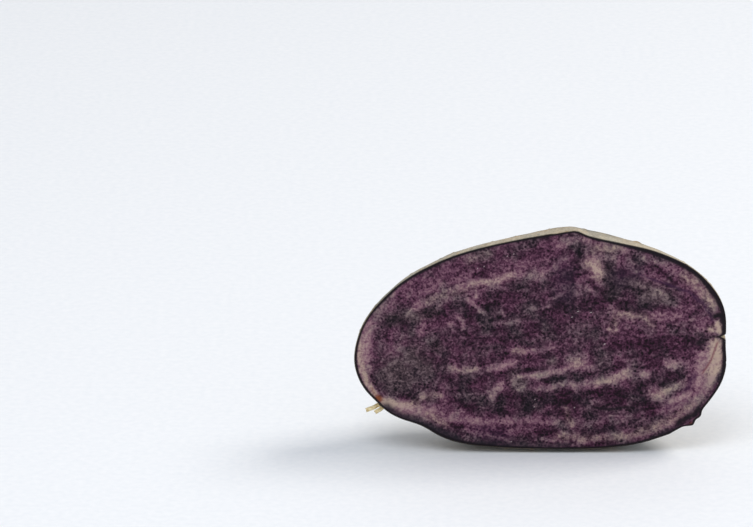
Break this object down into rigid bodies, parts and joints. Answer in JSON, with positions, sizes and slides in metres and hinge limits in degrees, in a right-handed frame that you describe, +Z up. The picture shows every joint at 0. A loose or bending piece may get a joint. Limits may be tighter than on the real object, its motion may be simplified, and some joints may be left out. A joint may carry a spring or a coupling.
{
  "type": "purple potato half",
  "caption": "Half of a purple-fleshed potato, cut lengthwise and standing on its belly with the flat cut face upright, the dry stolon stub still in its scar.",
  "frame": {"origin": "middle of the bounding box at its base, on the surface that the half stands on", "axes": "+Z up; X along the tuber, the stolon end at -X and the rose end at +X; the cut face looks along -Y and the rounded back along +Y"},
  "size_m": [0.1002, 0.0256, 0.063],
  "materials": {
    "flesh": "moist, satin",
    "skin": "dry, finely rough",
    "stolon": "dry fibre"
  },
  "bodies": {
    "root": {"tuber_half": "flesh", "stolon_stub": "stolon"}
  },
  "joints": []
}
